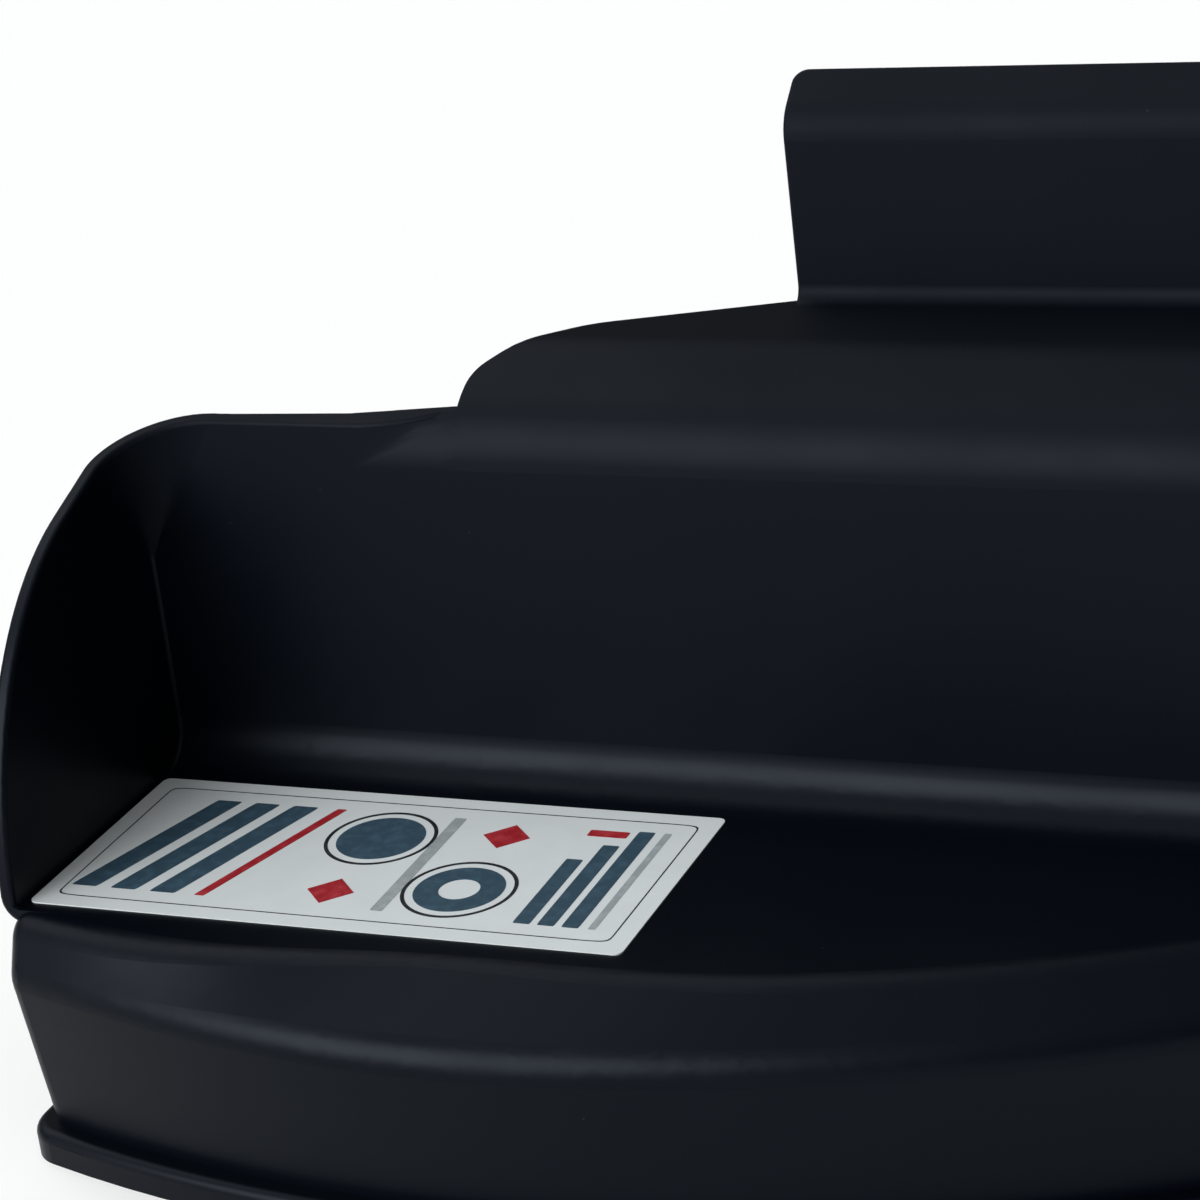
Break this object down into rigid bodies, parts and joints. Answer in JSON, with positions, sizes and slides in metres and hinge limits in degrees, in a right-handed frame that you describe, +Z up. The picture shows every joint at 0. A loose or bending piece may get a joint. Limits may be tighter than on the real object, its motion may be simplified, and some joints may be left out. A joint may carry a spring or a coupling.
{
  "type": "mower mulching plug",
  "caption": "One-piece moulded plug that closes a mower deck's side discharge: bowed skirt, label shelf, upright wall, hook panel and front tab.",
  "frame": {"origin": "middle of the whole outline, on the plane of the foot rim it rests on", "axes": "+X along the plug towards the front tab, +Y from the outer face towards the cutting chamber, +Z up"},
  "size_m": [0.3188, 0.151, 0.1653],
  "materials": {
    "shell_plastic": "satin black moulded",
    "label_film": "matt printed film"
  },
  "bodies": {
    "root": {"plug_shell": "shell_plastic", "label_sheet": "label_film"}
  },
  "joints": []
}
